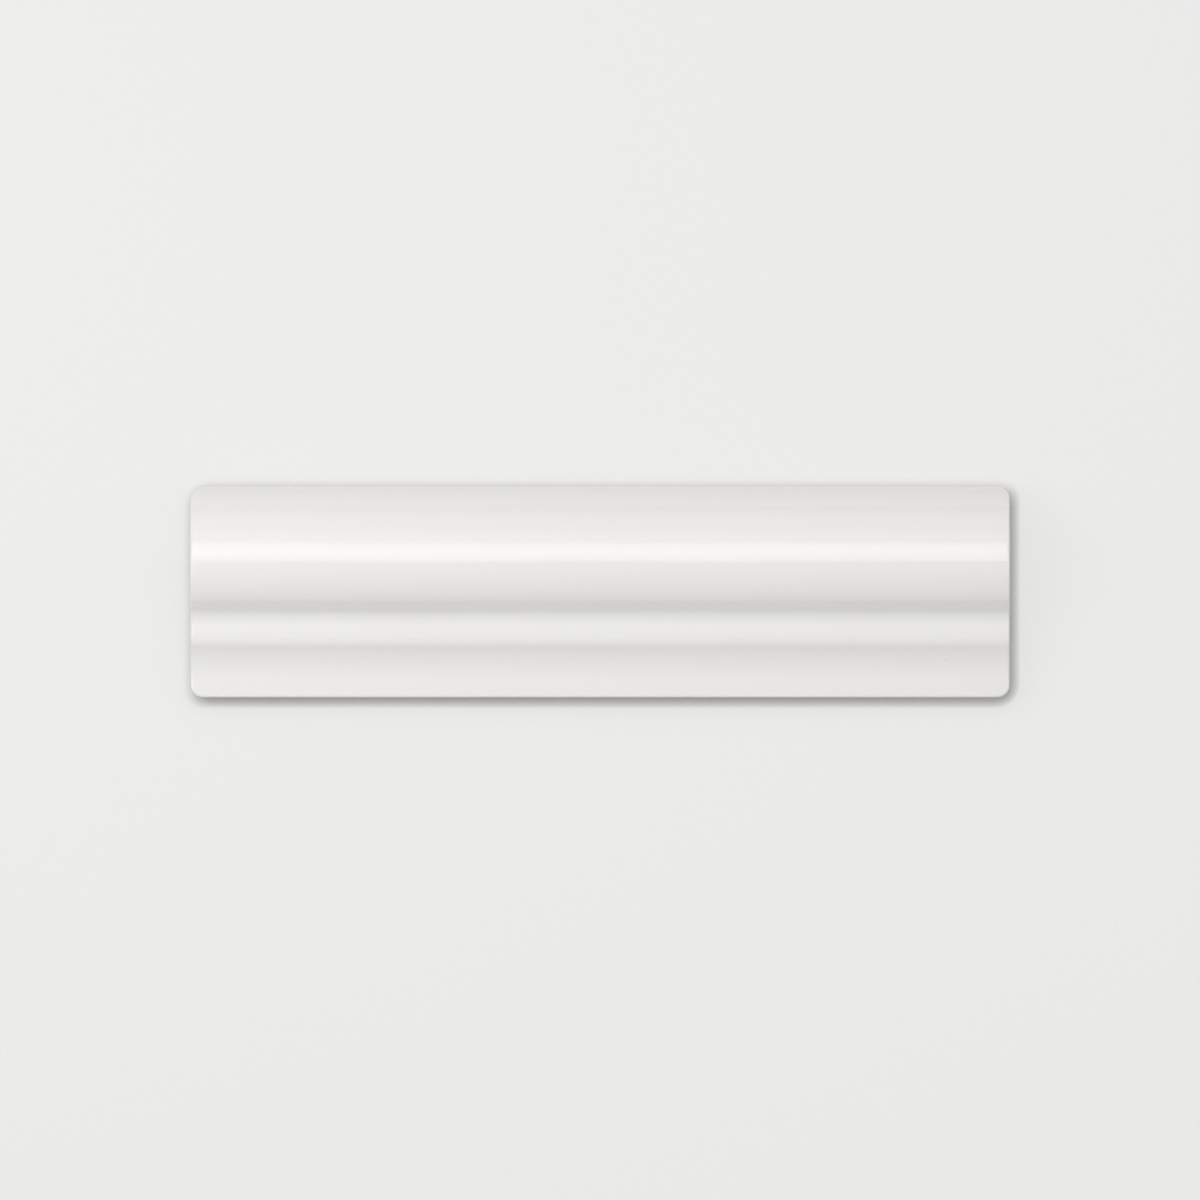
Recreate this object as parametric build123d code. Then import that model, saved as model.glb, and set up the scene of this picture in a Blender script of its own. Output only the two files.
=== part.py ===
from build123d import *

import os
from math import cos, radians, sin, tan

# A glazed ceramic moulding tile: one pressed and fired length of dado rail, lying on its back.
# X runs along its length, Y up the wall that it is fixed to, and Z out of that wall.
# The origin is the middle of the back, in the plane of the wall.
# Sizes are in millimetres, and leans, turns and drafts in degrees.

# Overall sizes and edges
LENGTH = 200.0
PROJECTION = 20.0  # from the wall to the crest of the nose
CORNER_RADIUS = 3.0  # the four corners, seen from the front
ARRIS_RADIUS = 0.5  # the eased edge all round the glazed face
BACK_CHAMFER = 0.6  # the pressed edge all round the back

# Face section, from the top edge down to the foot
TOP_EDGE = 5.0  # upright strip between the wall and the nose
TOP_LEAN = 15.0  # how far the nose leans back where it leaves that strip
UNDER_RADIUS = 12.8  # the tighter round under the crest
UNDER_TURN = 48.5
UNDER_FLANK = 1.8  # straight run from that round into the throat
THROAT_RADIUS = 5.05  # the hollow where the nose runs into the shoulder
SHOULDER_FLAT = 2.71
SHOULDER_RADIUS = 4.1  # the round where the shoulder runs into the cove
COVE_RADIUS = 12.7  # the long hollow that sweeps down to the foot
COVE_TURN = 39.0
FOOT_FLAT = 4.2

# Pockets in the back, behind the nose, with ribs between them
POCKET_COUNT = 3
POCKET_RIB = 5.0
POCKET_END_WALL = 9.0
POCKET_TOP_WALL = 8.0
CREST_WALL = 10.0  # from the pockets' ceilings to the crest
POCKET_DRAFT = 14.0
POCKET_CORNER = 4.0  # plan corners of the ceilings
POCKET_CEILING_RADIUS = 2.0

# Shallow grooves in the back, behind the shoulder and the cove, that key the adhesive
KEY_COUNT = 3
KEY_WIDTH = 3.0
KEY_DEPTH = 0.8
KEY_DRAFT = 20.0
KEY_MARGIN = 3.2  # bare back left beside the outer grooves
KEY_END_WALL = 12.0

# What follows from the sizes above
nose_turn = 90 - TOP_LEAN
nose_radius = (PROJECTION - TOP_EDGE) / (1 - cos(radians(nose_turn)))
nose_span = nose_radius * sin(radians(nose_turn))
under_span = UNDER_RADIUS * sin(radians(UNDER_TURN))
throat_span = UNDER_FLANK * cos(radians(UNDER_TURN)) + THROAT_RADIUS * sin(radians(UNDER_TURN))
shoulder_span = SHOULDER_FLAT + SHOULDER_RADIUS * sin(radians(COVE_TURN))
cove_span = COVE_RADIUS * sin(radians(COVE_TURN)) + FOOT_FLAT
face_width = nose_span + under_span + throat_span + shoulder_span + cove_span
top = face_width / 2
foot = -face_width / 2
throat_top = top - nose_span - under_span


def face_section():
    """The solid section, closed along the wall. Each stretch leaves the last one along its tangent."""
    top_edge = Line((top, 0), (top, TOP_EDGE))
    leaning = Vector(1, 0).rotate(Axis.Z, 90 + TOP_LEAN)
    nose = JernArc(top_edge @ 1, leaning, nose_radius, nose_turn)
    under = JernArc(nose @ 1, nose % 1, UNDER_RADIUS, UNDER_TURN)
    flank = Line(under @ 1, under @ 1 + (under % 1) * UNDER_FLANK)
    throat = JernArc(flank @ 1, flank % 1, THROAT_RADIUS, -UNDER_TURN)
    flat = Line(throat @ 1, throat @ 1 + (throat % 1) * SHOULDER_FLAT)
    shoulder = JernArc(flat @ 1, flat % 1, SHOULDER_RADIUS, COVE_TURN)
    cove = JernArc(shoulder @ 1, shoulder % 1, COVE_RADIUS, -COVE_TURN)
    land = Line(cove @ 1, (foot, (cove @ 1).Y))
    foot_edge = Line(land @ 1, (foot, 0))
    back = Line(foot_edge @ 1, top_edge @ 0)
    face_line = [nose, under, flank, throat, flat, shoulder, cove, land]
    return make_face([top_edge, *face_line, foot_edge, back])


def blank():
    """The moulding at its length, with rounded corners, an eased face and a chamfered back."""
    rail = extrude(Plane.YZ * face_section(), LENGTH / 2, both=True)
    plan = RectangleRounded(LENGTH, face_width, CORNER_RADIUS)
    tile = rail & extrude(plan, 2 * PROJECTION)
    # The edge of the face runs on smoothly all the way round, so the foot's stretch takes the rest with it.
    foot_arris = tile.edges().filter_by(Axis.X).group_by(Axis.Y)[0].sort_by(Axis.Z)[-1]
    eased = fillet(foot_arris, ARRIS_RADIUS)
    back_face = eased.faces().sort_by(Axis.Z)[0]
    return chamfer(back_face.outer_wire().edges(), BACK_CHAMFER)


def pockets():
    """The plugs that form the pockets: mouth down, narrowing to a soft-edged ceiling."""
    depth = PROJECTION - CREST_WALL
    length = (LENGTH - 2 * POCKET_END_WALL - (POCKET_COUNT - 1) * POCKET_RIB) / POCKET_COUNT
    width = top - POCKET_TOP_WALL - throat_top
    mouth_corner = POCKET_CORNER + depth * tan(radians(POCKET_DRAFT))
    plug = extrude(RectangleRounded(length, width, mouth_corner), depth, taper=POCKET_DRAFT)
    plug = fillet(plug.faces().sort_by(Axis.Z)[-1].edges(), POCKET_CEILING_RADIUS)
    row = GridLocations(length + POCKET_RIB, 0, POCKET_COUNT, 1)
    return [Pos(Y=throat_top + width / 2) * place * plug for place in row]


def keys():
    """The bars that press the grooves, spread evenly between the pockets and the foot."""
    land = throat_top - foot
    pitch = (land - 2 * KEY_MARGIN - KEY_WIDTH) / max(KEY_COUNT - 1, 1)
    bar = extrude(SlotOverall(LENGTH - 2 * KEY_END_WALL, KEY_WIDTH), KEY_DEPTH, taper=KEY_DRAFT)
    column = GridLocations(0, pitch, 1, KEY_COUNT)
    return [Pos(Y=foot + land / 2) * place * bar for place in column]


moulding_tile = blank() - pockets() - keys()
moulding_tile.label = "moulding_tile"

os.makedirs("parts", exist_ok=True)
export_step(moulding_tile, "parts/moulding_tile.step")
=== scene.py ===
# %% [markdown]
# # A glazed ceramic moulding tile
# The object is one length of dado rail: clay pressed in a die, dipped in white glaze on its face
# and fired, so it is a single piece with two finishes. The face, ends and edges are glassy, and the
# back, which goes to the wall, is bare biscuit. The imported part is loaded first, and its box is
# kept, so that the sizes below come from it and the dressed tile can be compared with it.

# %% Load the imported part
from math import cos, pi, radians, sin, tan

import bmesh
import bpy
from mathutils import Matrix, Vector


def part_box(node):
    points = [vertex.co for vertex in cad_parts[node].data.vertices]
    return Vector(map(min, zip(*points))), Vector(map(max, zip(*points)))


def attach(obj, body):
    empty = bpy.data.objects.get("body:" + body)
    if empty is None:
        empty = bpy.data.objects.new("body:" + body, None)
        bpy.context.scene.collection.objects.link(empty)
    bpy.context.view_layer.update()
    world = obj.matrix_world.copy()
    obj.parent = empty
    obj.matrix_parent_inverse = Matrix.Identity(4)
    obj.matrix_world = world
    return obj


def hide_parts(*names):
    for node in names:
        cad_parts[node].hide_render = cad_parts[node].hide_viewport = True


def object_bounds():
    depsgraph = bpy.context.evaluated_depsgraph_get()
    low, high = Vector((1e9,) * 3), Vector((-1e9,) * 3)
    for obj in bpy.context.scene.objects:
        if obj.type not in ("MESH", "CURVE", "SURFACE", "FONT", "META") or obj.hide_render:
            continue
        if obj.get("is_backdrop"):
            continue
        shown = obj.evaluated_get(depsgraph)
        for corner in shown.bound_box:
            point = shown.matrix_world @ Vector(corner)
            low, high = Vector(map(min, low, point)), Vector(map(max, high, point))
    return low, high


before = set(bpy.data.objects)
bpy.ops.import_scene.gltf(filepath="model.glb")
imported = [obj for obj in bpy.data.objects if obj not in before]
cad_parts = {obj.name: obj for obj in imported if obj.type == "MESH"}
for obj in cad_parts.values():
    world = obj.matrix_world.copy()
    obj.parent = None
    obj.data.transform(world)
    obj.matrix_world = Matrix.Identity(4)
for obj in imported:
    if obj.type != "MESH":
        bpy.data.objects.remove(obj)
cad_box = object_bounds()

MM = 0.001
low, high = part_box("moulding_tile")
LENGTH = high.x - low.x
FACE_WIDTH = high.y - low.y
PROJECTION = high.z
print(f"tile {LENGTH / MM:.1f} x {FACE_WIDTH / MM:.1f} x {PROJECTION / MM:.1f} mm")

# %% [markdown]
# ## Writing nodes as sums
# Both the shape and the glaze are node trees. Wiring each sum by hand hides what it says, so one
# small class wraps a socket and gives it Python's own operators: `1 - mask * 0.5` then adds the
# Math nodes by itself. Every other kind of node comes from one method, which takes the node's type,
# then its settings and then what goes into its sockets.

# %% Wires and patches
def pick(sockets, key):
    """The socket at an index, or the one in use with that name or identifier."""
    if isinstance(key, int):
        return sockets[key]
    return next(s for s in sockets if s.enabled and key in (s.name, s.identifier))


class Wire:
    """One output socket. Sums on wires add Math nodes to their tree."""

    def __init__(self, patch, socket):
        self.patch = patch
        self.socket = socket

    def out(self, key):
        """Another output of the same node."""
        return Wire(self.patch, pick(self.socket.node.outputs, key))

    def math(self, operation, *values):
        return self.patch.node("ShaderNodeMath", {"operation": operation}, dict(enumerate(values)))

    def __add__(self, other):
        return self.math("ADD", self, other)

    def __sub__(self, other):
        return self.math("SUBTRACT", self, other)

    def __rsub__(self, other):
        return self.math("SUBTRACT", other, self)

    def __mul__(self, other):
        return self.math("MULTIPLY", self, other)

    def __truediv__(self, other):
        return self.math("DIVIDE", self, other)

    def __rtruediv__(self, other):
        return self.math("DIVIDE", other, self)

    def __neg__(self):
        return self * -1

    __radd__ = __add__
    __rmul__ = __mul__

    def root(self):
        return self.math("SQRT", self)

    def absolute(self):
        return self.math("ABSOLUTE", self)

    def sign(self):
        return self.math("SIGN", self)

    def at_least(self, floor):
        return self.math("MAXIMUM", self, floor)

    def at_most(self, ceiling):
        return self.math("MINIMUM", self, ceiling)

    def under(self, limit):
        return self.math("LESS_THAN", self, limit)

    def power(self, exponent):
        return self.math("POWER", self, exponent)

    def step(self, start, end):
        """A soft step: 0 at start, 1 at end."""
        ends = {"Value": self, "From Min": start, "From Max": end}
        return self.patch.node("ShaderNodeMapRange", {"interpolation_type": "SMOOTHSTEP"}, ends)


class Patch:
    """A node tree that is being wired."""

    def __init__(self, tree):
        self.tree = tree

    def plug(self, socket, value):
        for item in value if isinstance(value, list) else [value]:
            if isinstance(item, Wire):
                self.tree.links.new(item.socket, socket)
            else:
                socket.default_value = item

    def node(self, kind, settings=None, sockets=None):
        """Adds a node: its settings first, then the values or wires of its sockets."""
        made = self.tree.nodes.new(kind)
        for name, value in (settings or {}).items():
            setattr(made, name, value)
        for key, value in (sockets or {}).items():
            self.plug(pick(made.inputs, key), value)
        return Wire(self, next((s for s in made.outputs if s.enabled), None))

    def vector(self, x, y, z):
        return self.node("ShaderNodeCombineXYZ", None, {"X": x, "Y": y, "Z": z})

    def vector_math(self, operation, *values):
        return self.node("ShaderNodeVectorMath", {"operation": operation}, dict(enumerate(values)))

    def noise(self, place, scale, detail, seed):
        """Four-dimensional noise, about 0 to 1, that a seed shifts."""
        sockets = {"Vector": place, "Scale": scale, "Detail": detail, "W": seed}
        return self.node("ShaderNodeTexNoise", {"noise_dimensions": "4D"}, sockets)


print("wires ready")

# %% [markdown]
# ## The section
# The face is a classic dado section: a big nose, a throat under it, a narrow shoulder and an ogee
# that sweeps down to the foot. It could be drawn by eye with a Bezier curve, but a die is cut in
# arcs that run into each other, and a glossy glaze shows any curve that isn't. So each stretch
# leaves the last one along its tangent. Each point also keeps how hollow the face is there,
# because glaze runs off the rounds and gathers in the hollows.

# %% Draw with arcs
DEGREES_A_POINT = 0.1


class Section:
    """A line drawn from the top edge down to the foot, as points and their hollowness."""

    def __init__(self, y, z, heading):
        self.points = [(y, z)]
        self.hollow = [0.0]
        self.heading = heading

    def straight(self, length):
        y, z = self.points[-1]
        angle = radians(self.heading)
        self.points.append((y + length * cos(angle), z + length * sin(angle)))
        self.hollow.append(0.0)

    def arc(self, radius, turn):
        """A turn to the left is a round, and one to the right, below zero, a hollow."""
        steps = round(abs(turn) / DEGREES_A_POINT)
        chord = 2 * radius * sin(radians(abs(turn)) / steps / 2)
        for _ in range(steps):
            self.heading += turn / steps / 2
            self.straight(chord)
            self.heading += turn / steps / 2
            self.hollow[-1] = (1 if turn < 0 else -1) * MM / radius


print(f"arcs have a point every {DEGREES_A_POINT} degrees")

# %% Lay out the section
TOP_EDGE = 5.0 * MM
TOP_LEAN = 15.0
UNDER = (12.8 * MM, 48.5)
UNDER_FLANK = 1.8 * MM
THROAT_RADIUS = 5.05 * MM
SHOULDER_FLAT = 2.71 * MM
SHOULDER = (4.1 * MM, 39.0)
COVE_RADIUS = 12.7 * MM
nose_turn = 90 - TOP_LEAN
nose_radius = (PROJECTION - TOP_EDGE) / (1 - cos(radians(nose_turn)))

section = Section(FACE_WIDTH / 2, TOP_EDGE, 90 + TOP_LEAN)
section.arc(nose_radius, nose_turn)
section.arc(*UNDER)
throat_top = section.points[-1][0]
section.straight(UNDER_FLANK)
section.arc(THROAT_RADIUS, -UNDER[1])
section.straight(SHOULDER_FLAT)
section.arc(*SHOULDER)
section.arc(COVE_RADIUS, -SHOULDER[1])
section.straight(section.points[-1][0] + FACE_WIDTH / 2)
section_mesh = bpy.data.meshes.new("section")
section_edges = [(i, i + 1) for i in range(len(section.points) - 1)]
section_mesh.from_pydata([(0, y, z) for y, z in section.points], section_edges, [])
section_mesh.attributes.new("hollow", "FLOAT", "POINT").data.foreach_set("value", section.hollow)
foot_height = section.points[-1][1]
print(f"{len(section.points)} points, foot {foot_height / MM:.2f} mm thick")

# %% [markdown]
# ## One material, two finishes
# The tile is glazed on its face, and its back stays bare. Two materials would do, but the line
# between them could then only follow the edges of the mesh. So one material holds both, and an
# attribute of the tile, `glaze`, 1 on the glass and 0 on the clay, chooses between them. A second
# attribute, `hollow`, says how the face bends: above 0 in a hollow, and below 0 on a round.

# %% Open the material
SEED = 4.0
glazed_ceramic = bpy.data.materials.new("glazed_ceramic")
glazed_ceramic.use_nodes = True
glazed_ceramic.node_tree.nodes.clear()
finish = Patch(glazed_ceramic.node_tree)
place = finish.node("ShaderNodeTexCoord").out("Object")


def mix(patch, factor, first, second):
    """A colour between two others."""
    colours = {"Factor_Float": factor, "A_Color": first, "B_Color": second}
    return patch.node("ShaderNodeMix", {"data_type": "RGBA"}, colours)


def attribute(name):
    return finish.node("ShaderNodeAttribute", {"attribute_name": name}).out("Fac")


glass = attribute("glaze")
hollow = attribute("hollow")
print("the material reads the tile's glaze and hollow")

# %% [markdown]
# ## The glaze
# White glaze is a skin of opaque glass about a third of a millimetre thick. One flat white would
# look like plastic, because fired glaze isn't quite even: it is a shade denser where it has gathered
# in the throat and the cove, a shade warmer where it has run thin over the edges, and a few bubbles
# leave pinholes. Each of these is a mask that mixes in some of another colour. The pinholes show a
# clay colour darkened with painted shade, the shade inside a hole. A pit and a small run stand near
# one end of the foot, and the pit takes a little of the same painted shade.

# %% Mix the glaze
GLAZE = (0.800, 0.790, 0.772, 1)
GLAZE_POOLED = (0.815, 0.810, 0.800, 1)
GLAZE_THIN = (0.760, 0.735, 0.695, 1)
# The darkest colour is clay darkened with painted shade, for the insides of holes, and is also used for dark
# specks.
HOLE_SHADE_AND_SPECK = (0.360, 0.295, 0.220, 1)
PIT = (84.5 * MM, -16.9 * MM, 0.55 * MM)
RUN_HEAD = (92.9 * MM, -19.0 * MM, 0.55 * MM)
RUN_TAIL = (92.3 * MM, -19.7 * MM, 0.5 * MM)
cloud = finish.noise(place, 22.0, 3.0, SEED)
mottle = finish.noise(place, 160.0, 2.0, SEED + 1)
cells = finish.node("ShaderNodeTexVoronoi", None, {"Vector": place, "Scale": 75.0})
rare = finish.node("ShaderNodeSeparateColor", None, {0: cells.out("Color")})
pinhole = (1 - cells.step(0.010, 0.030)) * rare.step(0.90, 0.91)


def mark(x, y, radius):
    """1 in a small round spot of the face, fading to 0 at its radius."""
    beside = finish.vector_math("SUBTRACT", place, (x, y, 0))
    across = finish.vector_math("MULTIPLY", beside, (1, 1, 0))
    return 1 - finish.vector_math("LENGTH", across).out("Value").step(0.25 * radius, radius)


pit = mark(*PIT)
run = mark(*RUN_HEAD) + mark(*RUN_TAIL)
gathered = hollow.step(0.0, 0.22)
uneven = cloud.step(0.55, 0.85) * 0.25
run_thin = (-hollow).step(0.25, 0.60) * 0.45
glaze_colour = mix(finish, gathered, GLAZE, GLAZE_POOLED)
glaze_colour = mix(finish, uneven, glaze_colour, GLAZE_THIN)
glaze_colour = mix(finish, run_thin, glaze_colour, GLAZE_THIN)
# Pinholes and the pit are mixed towards the clay darkened with painted shade, the shade inside the holes.
glaze_colour = mix(finish, pinhole * 0.8 + pit * 0.12, glaze_colour, HOLE_SHADE_AND_SPECK)
gloss = 0.045 + mottle * 0.03 + pinhole * 0.3
glaze_relief = cloud * 0.25 + mottle * 0.012 - pinhole * 0.12 - pit * 0.2 + run * 0.3
print("glaze mixed")

# %% [markdown]
# ## The biscuit
# The back is biscuit, the bare fired clay: matt, cream, gritty and slightly stained. A picture of
# clay could be laid over it, but noise gives grit and stain at any distance and without seams, and
# the small cells of a Voronoi texture give the pores. The pores are darkened with painted shade, the
# shade inside them, and the dark grit specks are the clay's own tone.

# %% Mix the biscuit
BISCUIT = (0.720, 0.645, 0.545, 1)
BISCUIT_STAIN = (0.620, 0.520, 0.405, 1)
grit = finish.noise(place, 2400.0, 4.0, SEED + 2)
stain = finish.noise(place, 45.0, 5.0, SEED + 3)
pores = finish.node("ShaderNodeTexVoronoi", None, {"Vector": place, "Scale": 900.0})
pore = (1 - pores.step(0.10, 0.30)) * grit.step(0.45, 0.60)
biscuit_colour = mix(finish, stain.step(0.45, 0.75) * 0.7, BISCUIT, BISCUIT_STAIN)
# Pores get painted shade, the shade inside them; the dark grit specks are the clay's own tone.
biscuit_colour = mix(finish, pore * 0.6 + grit.step(0.62, 0.75) * 0.25, biscuit_colour, HOLE_SHADE_AND_SPECK)
matt = 0.80 + grit * 0.15
clay_relief = grit * 0.10 - pore * 0.12
print("biscuit mixed")

# %% [markdown]
# ## Glaze over clay
# Both finishes meet in one Principled shader. Its colour, its roughness and its relief are each
# the clay's or the glaze's, as the `glaze` attribute says. The relief goes through a Bump node,
# because pinholes and grit are too small to be worth real faces.

# %% Join the glaze and the biscuit
RELIEF_STRENGTH = 0.35
RELIEF_HEIGHT = 0.4 * MM
GLASS_IOR = 1.5
relief = clay_relief + glass * (glaze_relief - clay_relief)
heights = {"Strength": RELIEF_STRENGTH, "Distance": RELIEF_HEIGHT, "Height": relief}
sockets = {
    "Base Color": mix(finish, glass, biscuit_colour, glaze_colour),
    "Roughness": matt + glass * (gloss - matt),
    "Normal": finish.node("ShaderNodeBump", None, heights),
    "IOR": GLASS_IOR,
}
shader = finish.node("ShaderNodeBsdfPrincipled", None, sockets)
finish.node("ShaderNodeOutputMaterial", None, {"Surface": shader})
print(f"glaze and biscuit: {len(glazed_ceramic.node_tree.nodes)} nodes")

# %% [markdown]
# ## The shape, as a rule
# The tile is a section, a length and four rounded corners, with recesses repeated in its back. That
# is a rule, so Geometry Nodes make it. It could be modelled by hand, but a tree keeps each size as
# a named input, which can be changed later. The sizes of the back are worked out here from the box
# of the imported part.

# %% Name the tile's sizes and open its tree
POCKET_COUNT = 3
POCKET_RIB = 5.0 * MM
POCKET_END_WALL = 9.0 * MM
POCKET_TOP_WALL = 8.0 * MM
KEY_COUNT = 3
KEY_WIDTH = 3.0 * MM
KEY_MARGIN = 3.2 * MM
pocket_length = (LENGTH - 2 * POCKET_END_WALL - (POCKET_COUNT - 1) * POCKET_RIB) / POCKET_COUNT
pocket_width = FACE_WIDTH / 2 - POCKET_TOP_WALL - throat_top
key_land = throat_top + FACE_WIDTH / 2
SIZES = {
    "Length": LENGTH,
    "Face Width": FACE_WIDTH,
    "Corner Radius": 3.0 * MM,
    "Arris Radius": 0.5 * MM,
    "End Roll Depth": 0.18 * MM,
    "End Roll Reach": 4.5 * MM,
    "Glaze Wave": 0.11 * MM,
    "Glaze Line": 2.0 * MM,
    "Glaze Thickness": 0.12 * MM,
    "Back Chamfer": 0.6 * MM,
    "Pocket Pitch": pocket_length + POCKET_RIB,
    "Key Pitch": (key_land - 2 * KEY_MARGIN - KEY_WIDTH) / (KEY_COUNT - 1),
    "Seed": 11.0,
}
tree = bpy.data.node_groups.new("moulding_tile_shape", "GeometryNodeTree")
tree.interface.new_socket("Section", in_out="INPUT", socket_type="NodeSocketGeometry")
size_sockets = {}
for name in SIZES:
    size_sockets[name] = tree.interface.new_socket(name, in_out="INPUT", socket_type="NodeSocketFloat")
tree.interface.new_socket("Tile", in_out="OUTPUT", socket_type="NodeSocketGeometry")
shape = Patch(tree)
given = shape.node("NodeGroupInput")
size = {name: given.out(name) for name in SIZES}
print(f"{len(SIZES)} named sizes")

# %% [markdown]
# ## The glazed face
# The front of the tile is one smooth skin from the nose to the foot. An extruded curve with a Bevel
# modifier comes close, but a bevel pinches where a curved face meets rounded corners. So a flat
# sheet of squares is bent over the section. Near the ends it is drawn in to the rounded plan, and at
# the rim it drops away in a quarter round. The squares are crowded towards the rim, where the light
# turns fastest. The face also rolls off gently at its ends, and carries the slow waves of poured
# glaze, which gather towards the ends.

# %% Read, crowd and keep points
CROWDING = 1.5


def where():
    """The x, y and z of the point that is being placed."""
    here = shape.node("ShaderNodeSeparateXYZ", None, {0: shape.node("GeometryNodeInputPosition")})
    return here, here.out("Y"), here.out("Z")


def crowd(t):
    """Moves evenly spaced rows, from -1 to 1, closer together towards both ends."""
    return t.sign() * (1 - (1 - t.absolute()).at_least(0).power(CROWDING))


def named(name, kind="FLOAT"):
    return shape.node("GeometryNodeInputNamedAttribute", {"data_type": kind}, {"Name": name})


def keep(geometry, name, value, kind="FLOAT", among=True):
    """Stores a value on the points, among those chosen."""
    sockets = {"Geometry": geometry, "Name": name, "Value": value, "Selection": among}
    return shape.node("GeometryNodeStoreNamedAttribute", {"data_type": kind}, sockets)


print(f"rows crowd towards the rim by a power of {CROWDING}")

# %% Lay a sheet along the section
ROWS_ALONG = 300
ROWS_ACROSS = 260
DRAWN_IN_FROM = 12.0 * MM
DRAWN_IN_FULLY = 4.0 * MM
grid = {"Size X": 2.0, "Size Y": 2.0, "Vertices X": ROWS_ALONG, "Vertices Y": ROWS_ACROSS}
sheet = shape.node("GeometryNodeMeshGrid", None, grid)
across_x, across_y, _ = where()
line = shape.node("GeometryNodeMeshToCurve", None, {"Mesh": given})
walk = {"Curves": line, "Value": named("hollow"), "Factor": (1 - crowd(across_y)) * 0.5}
sample = shape.node("GeometryNodeSampleCurve", {"mode": "FACTOR", "use_all_curves": True}, walk)
on_line = shape.node("ShaderNodeSeparateXYZ", None, {0: sample.out("Position")})
half_length = size["Length"] * 0.5
half_width = size["Face Width"] * 0.5
radius = size["Corner Radius"]

y = on_line.out("Y")
past_y = y.absolute() - (half_width - radius)
corner_y = past_y.at_least(0).at_most(radius)
shortfall = radius - (radius * radius - corner_y * corner_y).at_least(0).root()
x_even = crowd(across_x) * half_length
drawn_in = x_even.absolute().step(half_length - DRAWN_IN_FROM, half_length - DRAWN_IN_FULLY)
x = x_even.sign() * (x_even.absolute() - shortfall * drawn_in)
print(f"sheet: {ROWS_ALONG} by {ROWS_ACROSS} rows")

# %% Ease the rim and wave the glaze
END_GATHER = 16.0 * MM
END_GATHER_GAIN = 0.8
EDGE_THINNING = 0.6
WAVE_STRETCH = 0.35
WAVE_SCALE = 60.0
arris = size["Arris Radius"]
past_x = x.absolute() - (half_length - radius)
corner_x = past_x.at_least(0)
from_centre = (corner_x * corner_x + corner_y * corner_y).root()
inside = radius - from_centre - past_x.at_least(past_y).at_most(0)
over = (arris - inside).at_least(0).at_most(arris)
quarter_round = arris - (arris * arris - over * over).at_least(0).root()
from_end = half_length - x.absolute()
near_end = (1 - from_end / size["End Roll Reach"]).at_least(0)
end_roll = size["End Roll Depth"] * near_end * near_end
end_gather = 1 + END_GATHER_GAIN * from_end.step(END_GATHER, 0.0)
wave_place = shape.vector(x * WAVE_STRETCH, y, 0.0)
wave_noise = shape.noise(wave_place, WAVE_SCALE, 1.0, size["Seed"])
wave = (wave_noise - 0.5) * size["Glaze Wave"] * end_gather
z = on_line.out("Z") - quarter_round - end_roll + wave
face = keep(sheet, "hollow", sample - over / arris * EDGE_THINNING)
face = shape.node("GeometryNodeSetPosition", None, {"Geometry": face, "Position": shape.vector(x, y, z)})
face = keep(face, "glaze", 1.0)
print(f"rim eased by {SIZES['Arris Radius'] / MM:.1f} mm")

# %% [markdown]
# ## Walls grown ring by ring
# The sides, and the recesses in the back, are walls that follow a rounded rectangle. A Boolean
# could cut the recesses, but it leaves ragged triangles. Here an open edge is extruded and the new
# ring of points is moved, again and again, so every wall is clean strips of four-sided faces.

# %% Grow a wall from an open edge
def outward(half_x, half_y, corner):
    """The direction out of a rounded rectangle, for a point on its edge."""
    x, y, _ = where()
    out_x = (x.absolute() - (half_x - corner)).at_least(0) * x.sign()
    out_y = (y.absolute() - (half_y - corner)).at_least(0) * y.sign()
    return shape.vector_math("NORMALIZE", shape.vector(out_x, out_y, 0.0))


def ready_rim(geometry, half_x, half_y, corner):
    """Notes each point's place and its way out before a wall is grown from the rim."""
    geometry = keep(geometry, "rim", shape.node("GeometryNodeInputPosition"), "FLOAT_VECTOR")
    return keep(geometry, "outward", outward(half_x, half_y, corner), "FLOAT_VECTOR")


def rim_place():
    """The x, y and z that the rim had above or below the point."""
    rim = shape.node("ShaderNodeSeparateXYZ", None, {0: named("rim", "FLOAT_VECTOR")})
    return rim, rim.out("Y"), rim.out("Z")


def next_ring(mesh, edge, inset, height):
    """Grows a strip of faces from an open edge, to a ring set in from the rim and at a height."""
    grown = shape.node(
        "GeometryNodeExtrudeMesh",
        {"mode": "EDGES"},
        {"Mesh": mesh, "Selection": edge, "Offset Scale": 0.0},
    )
    ring = grown.out("Top")
    inset_by = {0: named("outward", "FLOAT_VECTOR"), "Scale": -inset}
    inward = shape.node("ShaderNodeVectorMath", {"operation": "SCALE"}, inset_by)
    rim_x, rim_y, _ = rim_place()
    target = shape.vector_math("ADD", shape.vector(rim_x, rim_y, height), inward)
    moved = {"Geometry": grown, "Selection": ring, "Position": target}
    return shape.node("GeometryNodeSetPosition", None, moved), ring


print("walls can grow from any rounded rectangle")

# %% [markdown]
# ## The sides
# Glaze runs down the sides and is wiped off the back, so it ends a little above the wall plane in a
# wandering line with a slight lip, and below it the bare clay stands back by the glaze's thickness.
# A painted line would do from afar, but close by the real step catches the light. The rings above
# the line are glazed, and those below it are marked as clay.

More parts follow.
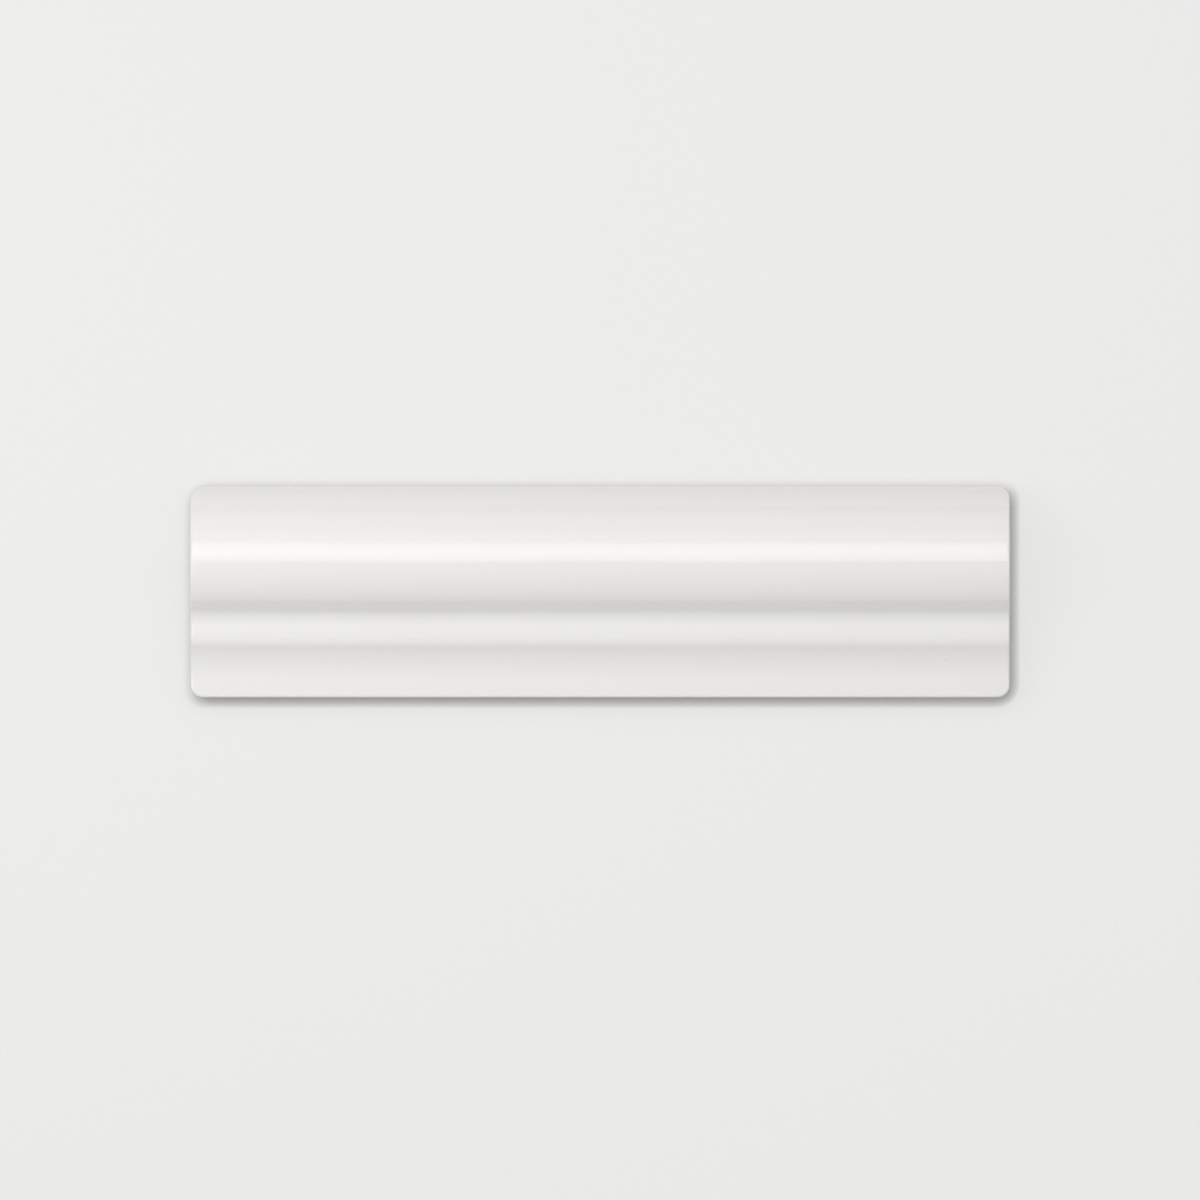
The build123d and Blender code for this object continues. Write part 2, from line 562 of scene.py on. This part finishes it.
# %% Grow the sides down to the back
LINE_WANDER = 2.2 * MM
LINE_WANDER_SCALE = 55.0
SIDE_FRACTIONS = (0.08, 0.35, 0.7, 1.0)
LIP_TOP = 0.35 * MM
LIP_CREST = 0.12 * MM
LIP_BULGE = -0.35
LIP_FOOT = 0.1
CLAY_START = 0.06 * MM
body = ready_rim(face, half_length, half_width, radius)
open_edge = shape.node(
    "FunctionNodeCompare",
    {"data_type": "INT", "operation": "EQUAL"},
    {"A": shape.node("GeometryNodeInputMeshEdgeNeighbors"), "B": 1},
)
rim_x, rim_y, rim_z = rim_place()
wander_place = shape.vector(rim_x, rim_y, 0.0)
wander = (shape.noise(wander_place, LINE_WANDER_SCALE, 3.0, size["Seed"] + 1.0) - 0.5) * LINE_WANDER
glaze_line = size["Glaze Line"] + wander
thickness = size["Glaze Thickness"]
chamfer = size["Back Chamfer"]
wall_top = glaze_line + LIP_TOP
glazed_rings = [(0.0, rim_z + (wall_top - rim_z) * f) for f in SIDE_FRACTIONS]
glazed_rings += [(thickness * LIP_BULGE, glaze_line + LIP_CREST), (thickness * LIP_FOOT, glaze_line)]
bare_rings = [(thickness, glaze_line - CLAY_START), (thickness, chamfer), (chamfer, 0.0)]
ring = open_edge
for inset, height in glazed_rings:
    body, ring = next_ring(body, ring, inset, height)
    body = keep(body, "hollow", 0.0, among=ring)
for inset, height in bare_rings:
    body, ring = next_ring(body, ring, inset, height)
    body = keep(body, "glaze", 0.0, among=ring)
outline = shape.node("GeometryNodeMeshToCurve", None, {"Mesh": body, "Selection": ring})
print(f"sides: {len(glazed_rings)} glazed rings and {len(bare_rings)} bare ones")

# %% [markdown]
# ## One recess
# Behind the nose the back has drafted pockets, which keep the wall of the tile even so that it dries
# and fires without cracking. Below them run shallow grooves that the adhesive keys into. Both are
# the same kind of form: a mouth with a soft lip, a leaning wall and a bed with rounded edges. So one
# function grows either, from its mouth inwards, with the rings that also made the sides.

# %% Grow a recess from its mouth
CORNER_STEPS = 10
ROUND_STEPS = 4


def recess_wall(depth, draft, lip, bed):
    """Inset and rise of a recess from its mouth: rounded lip, drafted wall, rounded bed."""
    lean = radians(draft)
    upright = pi / 2 - lean
    lip_start = lip * ((1 - cos(upright)) * tan(lean) - sin(upright))
    turns = [upright * i / ROUND_STEPS for i in range(ROUND_STEPS + 1)]
    path = [(lip_start + lip * sin(t), lip * (1 - cos(t))) for t in turns]
    bed_end = bed * cos(lean) + (depth - bed + bed * sin(lean)) * tan(lean)
    turns = [lean + upright * i / ROUND_STEPS for i in range(ROUND_STEPS + 1)]
    path += [(bed_end - bed * cos(t), depth - bed + bed * sin(t)) for t in turns]
    return [(inset - lip_start, rise) for inset, rise in path[1:]], -lip_start


def recess(length, width, bed_corner, depth, draft, lip, bed):
    """The mouth of a recess, as a curve, and its wall and bed, as a mesh."""
    wall, flare = recess_wall(depth, draft, lip, bed)
    corner = bed_corner + depth * tan(radians(draft)) + flare
    long = length + 2 * flare
    wide = width + 2 * flare
    corner = min(corner, wide / 2 * 0.999)
    box = shape.node("GeometryNodeCurvePrimitiveQuadrilateral", None, {"Width": long, "Height": wide})
    mouth = shape.node(
        "GeometryNodeFilletCurve",
        {"mode": "POLY"},
        {"Curve": box, "Count": CORNER_STEPS, "Radius": corner},
    )
    cup = shape.node("GeometryNodeCurveToMesh", None, {"Curve": mouth})
    cup = ready_rim(cup, long / 2, wide / 2, corner)
    ring = True
    for inset, rise in wall:
        cup, ring = next_ring(cup, ring, inset, rise)
    rim_of_bed = shape.node("GeometryNodeMeshToCurve", None, {"Mesh": cup, "Selection": ring})
    bed_face = shape.node("GeometryNodeFillCurve", {"mode": "TRIANGLES"}, {"Curve": rim_of_bed})
    lifted = {"Geometry": bed_face, "Offset": (0, 0, depth)}
    bed_face = shape.node("GeometryNodeSetPosition", None, lifted)
    return mouth, shape.node("GeometryNodeJoinGeometry", None, {"Geometry": [cup, bed_face]})


print(f"{CORNER_STEPS} steps round a corner, {ROUND_STEPS} over a lip")

# %% [markdown]
# ## The hollow back
# The die presses three equal pockets and three equal grooves. They could be copied in Python, but
# instances on a row of points do it inside the tree, so their pitch stays a named input. The flat of
# the back is then filled between the outline of the tile and all the mouths.

# %% Repeat the recesses and fill the back
CREST_WALL = 10.0 * MM
POCKET_CORNER = 4.0 * MM
POCKET_DRAFT = 14.0
POCKET_LIP = 0.5 * MM
POCKET_BED = 2.0 * MM
KEY_END_WALL = 12.0 * MM
KEY_DEPTH = 0.8 * MM
KEY_DRAFT = 20.0
KEY_LIP = 0.2 * MM
KEY_BED = 0.25 * MM


def row(count, start, step):
    """Points in a straight row, for copies to stand on."""
    sockets = {"Count": count, "Start Location": start, "Offset": step}
    return shape.node("GeometryNodeMeshLine", None, sockets)


def repeat(thing, points):
    copies = shape.node("GeometryNodeInstanceOnPoints", None, {"Points": points, "Instance": thing})
    return shape.node("GeometryNodeRealizeInstances", None, {"Geometry": copies})


pocket_edges = (POCKET_CORNER, PROJECTION - CREST_WALL, POCKET_DRAFT, POCKET_LIP, POCKET_BED)
pocket_mouth, pocket = recess(pocket_length, pocket_width, *pocket_edges)
pocket_first = size["Pocket Pitch"] * (-(POCKET_COUNT - 1) / 2)
pocket_start = shape.vector(pocket_first, throat_top + pocket_width / 2, 0.0)
pocket_points = row(POCKET_COUNT, pocket_start, shape.vector(size["Pocket Pitch"], 0.0, 0.0))

key_edges = (KEY_WIDTH, KEY_DEPTH, KEY_DRAFT, KEY_LIP, KEY_BED)
key_mouth, key = recess(LENGTH - 2 * KEY_END_WALL, KEY_WIDTH, *key_edges)
key_first = size["Key Pitch"] * (-(KEY_COUNT - 1) / 2) + (throat_top - key_land / 2)
key_points = row(KEY_COUNT, shape.vector(0.0, key_first, 0.0), shape.vector(0.0, size["Key Pitch"], 0.0))

mouths = [outline, repeat(pocket_mouth, pocket_points), repeat(key_mouth, key_points)]
edges_of_back = shape.node("GeometryNodeJoinGeometry", None, {"Geometry": mouths})
back = shape.node("GeometryNodeFillCurve", {"mode": "TRIANGLES"}, {"Curve": edges_of_back})
back = shape.node("GeometryNodeFlipFaces", None, {"Mesh": back})
print(f"{POCKET_COUNT} pockets of {pocket_length / MM:.1f} x {pocket_width / MM:.1f} mm")
print(f"{KEY_COUNT} grooves of {KEY_WIDTH / MM:.1f} mm")

# %% [markdown]
# ## One closed shell
# The real tile is one body, so the face, the sides, the back and the recesses become one shell.
# They could stay separate objects, but then light would leak at the seams. Points that meet are
# merged, and the tree ends by giving the shell its finish. The result is then copied to a plain
# mesh, so that nothing depends on the tree any more. Edges that turn sharply are marked, because
# smooth shading would otherwise smear the light round them.

# %% Close the shell
SEAM = 0.002 * MM
pieces = [body, back, repeat(pocket, pocket_points), repeat(key, key_points)]
whole = shape.node("GeometryNodeJoinGeometry", None, {"Geometry": pieces})
whole = shape.node("GeometryNodeRealizeInstances", None, {"Geometry": whole})
whole = shape.node("GeometryNodeMergeByDistance", None, {"Geometry": whole, "Distance": SEAM})
whole = shape.node("GeometryNodeSetShadeSmooth", None, {"Geometry": whole})
for helper in ("rim", "outward"):
    whole = shape.node("GeometryNodeRemoveAttribute", None, {"Geometry": whole, "Name": helper})
whole = shape.node("GeometryNodeSetMaterial", None, {"Geometry": whole, "Material": glazed_ceramic})
shape.node("NodeGroupOutput", None, {"Tile": whole})
print(f"tree: {len(tree.nodes)} nodes")

# %% Make the tile a plain mesh
SHARP_EDGE = radians(40)
tile = bpy.data.objects.new("glazed_moulding", section_mesh)
bpy.context.scene.collection.objects.link(tile)
rule = tile.modifiers.new("moulding_tile_shape", "NODES")
rule.node_group = tree
for name, value in SIZES.items():
    rule[size_sockets[name].identifier] = value
depsgraph = bpy.context.evaluated_depsgraph_get()
tile_mesh = bpy.data.meshes.new_from_object(tile.evaluated_get(depsgraph), depsgraph=depsgraph)
tile.modifiers.clear()
tile.data = tile_mesh
tile_mesh.name = "glazed_moulding"

shell = bmesh.new()
shell.from_mesh(tile_mesh)
bmesh.ops.recalc_face_normals(shell, faces=shell.faces)
loose = sum(not e.is_manifold for e in shell.edges)
for edge in shell.edges:
    edge.smooth = len(edge.link_faces) == 2 and edge.calc_face_angle() < SHARP_EDGE
volume = shell.calc_volume()
shell.to_mesh(tile_mesh)
shell.free()
tile_mesh.calc_loop_triangles()
print(f"{len(tile_mesh.loop_triangles)} triangles, {loose} open edges, {volume * 1e6:.2f} cubic centimetres")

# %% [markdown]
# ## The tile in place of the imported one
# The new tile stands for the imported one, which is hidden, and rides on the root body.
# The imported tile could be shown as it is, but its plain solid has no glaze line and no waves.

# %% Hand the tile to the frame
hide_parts("moulding_tile")
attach(tile, "root")
print("the tile rides on root")

# %% [markdown]
# ## The floor
# The tile lies on its back on a plain pale floor. It has an opening under the tile, a little smaller
# than the tile, so that light reaches the back when it is looked at from below. A plain square would
# look the same from above, and leave the back black.

# %% Lay the floor
FLOOR_HALF = 4.0
FLOOR_GAP = 0.1 * MM
OPENING_MARGIN = 1.5 * MM
floor_mesh = bpy.data.meshes.new("floor")
corners = [(-1, -1), (1, -1), (1, 1), (-1, 1)]
opening = (LENGTH / 2 - OPENING_MARGIN, FACE_WIDTH / 2 - OPENING_MARGIN)
floor_points = [(a * FLOOR_HALF, b * FLOOR_HALF, -FLOOR_GAP) for a, b in corners]
floor_points += [(a * opening[0], b * opening[1], -FLOOR_GAP) for a, b in corners]
floor_faces = [(i, (i + 1) % 4, (i + 1) % 4 + 4, i + 4) for i in range(4)]
floor_mesh.from_pydata(floor_points, [], floor_faces)
floor = bpy.data.objects.new("floor", floor_mesh)
bpy.context.scene.collection.objects.link(floor)
print(f"floor {2 * FLOOR_HALF:.0f} m square")

# %% [markdown]
# ## The floor's paint
# Paint that only the lamps light would shade off unevenly across the picture. So most of what is
# seen of the floor is an even pale tone, and the rest is lit paint, which keeps the tile's soft
# shadow. Close to the tile an Ambient Occlusion node paints a shadow into the even tone, darkest on
# the sides that face away from the light: a painted shadow, which no lamp casts. From below, and to
# the very short rays between the tile's back and the floor, the paint is clear.

# %% Paint the floor
FLOOR = (0.830, 0.828, 0.820, 1)
FLOOR_SEEN = (0.838, 0.837, 0.831, 1)
EVEN_SHARE = 0.7
NOOK_SHADE = (0.020, 0.020, 0.020, 1)
NOOK_REACH = 3.0 * MM
NOOK_FALL = 1.5
NOOK_SAMPLES = 4
LIGHT_FROM = (-0.5, 0.6, 0.62)
SHORT_RAY = 0.6 * MM
floor_paint = bpy.data.materials.new("pale_floor")
floor_paint.use_nodes = True
floor_paint.node_tree.nodes.clear()
paint = Patch(floor_paint.node_tree)


def seen(patch):
    """1 for what the camera sees, straight or in a reflection, and 0 for light that bounces about."""
    path = patch.node("ShaderNodeLightPath")
    return path.at_least(path.out("Is Glossy Ray")).at_least(path.out("Is Transmission Ray"))


matt_paint = paint.node("ShaderNodeBsdfDiffuse", None, {"Color": FLOOR})
# Painted shadow: near the tile the AO darkens the even tone towards NOOK_SHADE, most on the sides away from
# LIGHT_FROM.
close_by = {"Distance": NOOK_REACH, "Normal": paint.vector(*LIGHT_FROM)}
nook = paint.node("ShaderNodeAmbientOcclusion", {"samples": NOOK_SAMPLES}, close_by).out("AO")
tone_with_painted_shadow = mix(paint, nook.power(NOOK_FALL), NOOK_SHADE, FLOOR_SEEN)
glow_with_painted_shadow = paint.node("ShaderNodeEmission", None, {"Color": tone_with_painted_shadow})
painted = {0: seen(paint) * EVEN_SHARE, 1: matt_paint, 2: glow_with_painted_shadow}
from_below = paint.node("ShaderNodeNewGeometry").out("Backfacing")
from_back = paint.node("ShaderNodeLightPath").out("Ray Length").under(SHORT_RAY)
clear_or_not = {
    0: from_below.at_least(from_back),
    1: paint.node("ShaderNodeMixShader", None, painted),
    2: paint.node("ShaderNodeBsdfTransparent"),
}
floor_shader = paint.node("ShaderNodeMixShader", None, clear_or_not)
paint.node("ShaderNodeOutputMaterial", None, {"Surface": floor_shader})
floor_mesh.materials.append(floor_paint)
floor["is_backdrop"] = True
print(f"floor paint: {len(floor_paint.node_tree.nodes)} nodes")

# %% [markdown]
# ## The studio's sky
# Glaze mirrors whatever stands round it, so the sky is part of the finish. A sky of one grey would
# give the nose no edge. This one is white overhead and dim at the horizon, as a studio is beyond its
# screens, which draws a faint line along the top of the nose. That is only what reflections see. The
# camera sees plain white, and the light that fills the shadows is an even grey, brighter from below
# so that the back can be seen.

# %% Hang the sky
SKY_FILL = (0.508, 0.508, 0.508, 1)
SKY_UNDER = (0.900, 0.900, 0.900, 1)
SKY_LOW = (0.150, 0.150, 0.150, 1)
SKY_HIGH = (1.0, 1.0, 1.0, 1)
HORIZON = (0.0, 0.26)
world = bpy.data.worlds.new("studio")
bpy.context.scene.world = world
world.use_nodes = True
world.node_tree.nodes.clear()
sky = Patch(world.node_tree)
toward = sky.node("ShaderNodeSeparateXYZ", None, {0: sky.node("ShaderNodeTexCoord").out("Generated")})
height = toward.out("Z")
straight = sky.node("ShaderNodeLightPath")
walls = mix(sky, height.step(*HORIZON).at_least(straight), SKY_LOW, SKY_HIGH)
fill = mix(sky, height.under(0.0), SKY_FILL, SKY_UNDER)
background = sky.node("ShaderNodeBackground", None, {"Color": mix(sky, seen(sky), fill, walls)})
sky.node("ShaderNodeOutputWorld", None, {"Surface": background})
print(f"sky: {len(world.node_tree.nodes)} nodes")

# %% [markdown]
# ## Soft boxes
# The long highlight on the nose is the mirror image of a soft box that hangs over the tile and a
# little up the wall side. One evenly bright lamp would draw a flat stripe, so two smaller ones
# inside it brighten the middle. A panel further over lights the upper flank of the nose, and one at
# each end, the left one stronger, lets the light fall off along the tile.

# %% Light the studio
def soft_box(name, toward_nose, toward_left, width, span, radiance, away=1.0):
    """A lamp some way off, leaning from straight overhead, that spans some degrees up the wall side."""
    length = 2 * away * tan(radians(span / 2))
    lamp = bpy.data.lights.new(name, "AREA")
    lamp.shape = "RECTANGLE"
    lamp.size = width
    lamp.size_y = length
    lamp.energy = radiance * pi * width * length
    box = bpy.data.objects.new(name, lamp)
    bpy.context.scene.collection.objects.link(box)
    way = Vector((-tan(radians(toward_left)), tan(radians(toward_nose)), 1)).normalized()
    box.location = way * away
    box.rotation_euler = way.to_track_quat("Z", "Y").to_euler()
    box.visible_camera = False


soft_box("key_box", 20.0, 0.0, 0.6, 26.0, 1.90)
soft_box("key_core", 20.25, 2.0, 0.6, 17.5, 0.36)
soft_box("key_heart", 20.25, 3.0, 0.6, 9.5, 0.40)
soft_box("wall_panel", 40.5, 0.0, 1.2, 15.0, 0.60)
soft_box("left_panel", 8.0, 38.0, 0.4, 36.9, 2.12, away=0.6)
soft_box("right_panel", 0.0, -38.0, 0.4, 36.9, 0.80, away=0.6)
print("six soft boxes hung")

# %% [markdown]
# ## The camera
# The picture looks straight down on the tile, and all four edges stay parallel, as through a very
# long lens from far off. An orthographic camera would do the same, but a long lens is what a real
# studio has. The tile's length and its middle in the picture, in pixels, set how far away the camera
# is and where it aims.

# %% Set the camera
PICTURE_PIXELS = 1200
TILE_PIXELS = 819.1
TILE_CENTRE = (600.05, 591.7)
LENS = 1500.0
SENSOR = 36.0
FACE_HEIGHT = 12.0 * MM
pixel = LENGTH / TILE_PIXELS
camera_data = bpy.data.cameras.new("camera")
camera_data.lens = LENS
camera_data.sensor_width = SENSOR
camera_data.clip_end = 100.0
camera = bpy.data.objects.new("camera", camera_data)
bpy.context.scene.collection.objects.link(camera)
aim_x = (PICTURE_PIXELS / 2 - TILE_CENTRE[0]) * pixel
aim_y = (TILE_CENTRE[1] - PICTURE_PIXELS / 2) * pixel
camera.location = (aim_x, aim_y, FACE_HEIGHT + PICTURE_PIXELS * pixel * LENS / SENSOR)
bpy.context.scene.camera = camera
bpy.context.scene.view_settings.view_transform = "Standard"
print(f"camera {camera.location.z:.2f} m above the floor")

# %% [markdown]
# ## A last measure
# The dressed tile is made to stand out from the imported one by no more than its glaze. It could be
# judged by eye, but two boxes say it in numbers, so both are printed side by side.

# %% Compare the boxes and finish
dressed_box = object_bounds()
for name, box in (("packed", cad_box), ("dressed", dressed_box)):
    print(name, [[round(c / MM, 2) for c in corner] for corner in box], "mm")
